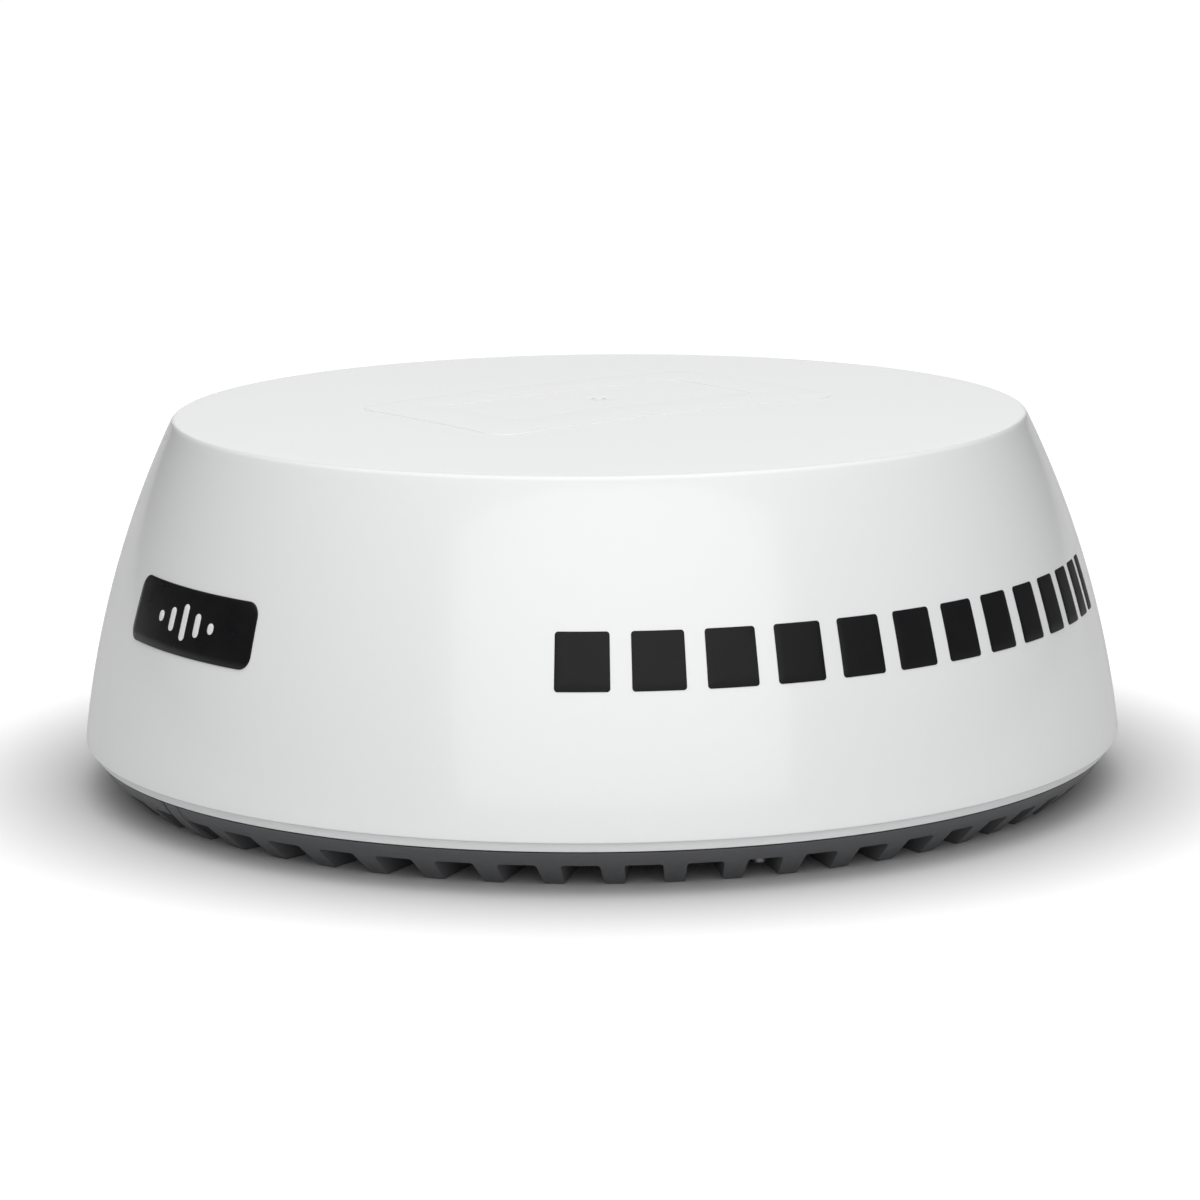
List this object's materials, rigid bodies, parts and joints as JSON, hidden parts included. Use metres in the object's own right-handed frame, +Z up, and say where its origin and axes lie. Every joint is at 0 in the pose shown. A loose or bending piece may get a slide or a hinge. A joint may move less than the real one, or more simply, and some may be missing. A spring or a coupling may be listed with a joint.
{
  "type": "radar dome antenna",
  "caption": "Low round marine radar scanner: white crowned radome on a grey base with a ring of ribs, and a belt-driven antenna turning inside.",
  "frame": {"origin": "on the mounting surface, under the dome's axis", "axes": "+Z up, -Y towards the bow, +X to starboard"},
  "size_m": [0.6157, 0.6158, 0.2248],
  "materials": {
    "radome_white": "gloss",
    "badge_black": "gloss",
    "mark_white": "gloss",
    "mark_black": "satin",
    "brass": "satin",
    "base_grey": "painted, satin",
    "strip_grey": "satin",
    "seal_rubber": "matte",
    "stainless": "satin",
    "screw_steel": "satin",
    "socket_plastic": "satin",
    "socket_metal": "satin",
    "cast_alloy": "cast",
    "bearing_steel": "ground",
    "plate_alloy": "satin",
    "spring_steel": "black oxide",
    "pulley_nylon": "satin",
    "magnet": "plated",
    "circuit_board": "solder mask",
    "motor_black": "satin",
    "pulley_alloy": "turned",
    "belt_rubber": "matte",
    "window_plastic": "satin",
    "weight_iron": "painted",
    "copper_line": "bare",
    "component_black": "satin",
    "shield_tin": "tinned",
    "lead_sleeve": "satin"
  },
  "bodies": {
    "base": {"base_pan": "base_grey", "bow_strip": "strip_grey", "radome_seal": "seal_rubber", "mount_inserts": "stainless", "radome_screws": "screw_steel", "screw_seals": "seal_rubber", "connector_plate": "stainless", "connector_screws": "stainless", "power_socket": "socket_plastic", "data_socket": "socket_metal", "breather_vent": "socket_plastic", "drain_plug": "socket_plastic", "earth_stud": "stainless", "turntable_housing": "cast_alloy", "bearing_outer_rings": "bearing_steel", "bearing_cover": "plate_alloy", "sensor_board": "circuit_board", "motor_body": "motor_black", "motor_bracket": "plate_alloy", "motor_screws": "stainless", "idler_post": "stainless", "drive_belt": "belt_rubber", "rotary_joint_stator": "brass", "coax_lead": "copper_line", "transceiver_case": "cast_alloy", "transceiver_lid": "cast_alloy", "lid_screws": "stainless", "transceiver_board": "circuit_board", "power_board": "circuit_board", "power_components": "component_black", "processor_board": "circuit_board", "shield_cans": "shield_tin", "board_standoffs": "brass", "harness_leads": "lead_sleeve", "chassis_screws": "stainless"},
    "radome": {"radome": "radome_white", "bow_badge": "badge_black", "badge_marks": "mark_white", "side_marks": "mark_black", "radome_inserts": "brass"},
    "antenna": {"antenna_shaft": "bearing_steel", "bearing_inner_rings": "bearing_steel", "shaft_circlip": "spring_steel", "driven_pulley": "pulley_nylon", "encoder_magnet": "magnet", "antenna_bracket": "plate_alloy", "antenna_tray": "plate_alloy", "array_board": "circuit_board", "array_window": "window_plastic", "end_caps": "socket_plastic", "counterweight": "weight_iron", "antenna_screws": "stainless", "rotary_joint_rotor": "brass", "feed_line": "copper_line"},
    "motor_rotor": {"motor_shaft": "bearing_steel", "motor_pulley": "pulley_alloy"},
    "idler": {"idler_roller": "pulley_nylon"},
    "ball_set": {"bearing_balls": "bearing_steel"}
  },
  "joints": [
    {"name": "antenna_spin", "type": "hinge", "parent": "base", "child": "antenna", "pos_m": [0, 0, 0.1], "axis": [0, 0, 1], "continuous": true},
    {"name": "motor_spin", "type": "hinge", "parent": "base", "child": "motor_rotor", "pos_m": [0, -0.132, 0.11], "axis": [0, 0, 1], "continuous": true},
    {"name": "idler_spin", "type": "hinge", "parent": "base", "child": "idler", "pos_m": [0.05008, -0.08946, 0.11], "axis": [0, 0, 1], "continuous": true},
    {"name": "ball_orbit", "type": "hinge", "parent": "base", "child": "ball_set", "pos_m": [0, 0, 0.066], "axis": [0, 0, 1], "continuous": true},
    {"name": "radome_lift", "type": "slide", "parent": "base", "child": "radome", "axis": [0, 0, 1], "range_m": [0, 0.25]}
  ],
  "couplings": [
    {"joint": "motor_spin", "follows": "antenna_spin", "ratio": 5},
    {"joint": "idler_spin", "follows": "antenna_spin", "ratio": -6.3636},
    {"joint": "ball_orbit", "follows": "antenna_spin", "ratio": 0.41558}
  ]
}
